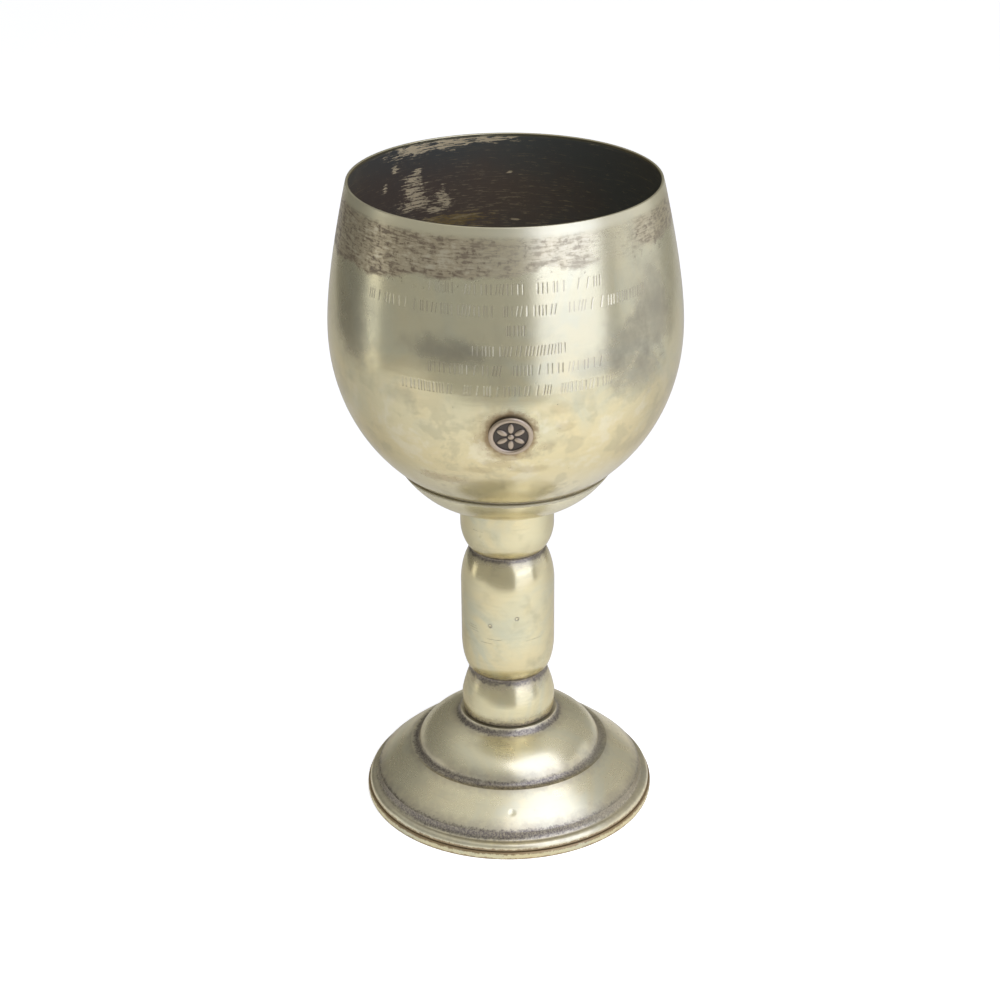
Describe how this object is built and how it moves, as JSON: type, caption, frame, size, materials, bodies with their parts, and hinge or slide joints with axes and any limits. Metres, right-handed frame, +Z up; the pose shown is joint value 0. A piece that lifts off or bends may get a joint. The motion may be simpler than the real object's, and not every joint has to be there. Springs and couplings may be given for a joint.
{
  "type": "commemorative cup",
  "caption": "Footed presentation goblet: a deep spun bowl in a shallow dish on a knopped hollow stem and a two-step domed foot, with a small round applied badge.",
  "frame": {"origin": "middle of the base ring's underside, on the surface that the cup stands on", "axes": "+Z up along the cup's axis, -Y towards the front with the badge, +X to the right seen from the front"},
  "size_m": [0.1034, 0.1041, 0.2],
  "materials": {
    "bowl_silver": "aged silver plate, satin, brushed round the bowl, with grey-brown tarnish under the lip",
    "stem_silver": "aged silver plate, satin, dark tarnish in the joints",
    "foot_silver": "aged silver plate, satin, dark grey tarnish in the coves",
    "badge_silver": "darkened silver relief, rubbed bright on the high places"
  },
  "bodies": {
    "root": {"bowl": "bowl_silver", "calyx_dish": "stem_silver", "upper_knop": "stem_silver", "stem_barrel": "stem_silver", "lower_knop": "stem_silver", "foot": "foot_silver", "base_ring": "foot_silver", "badge": "badge_silver"}
  },
  "joints": []
}
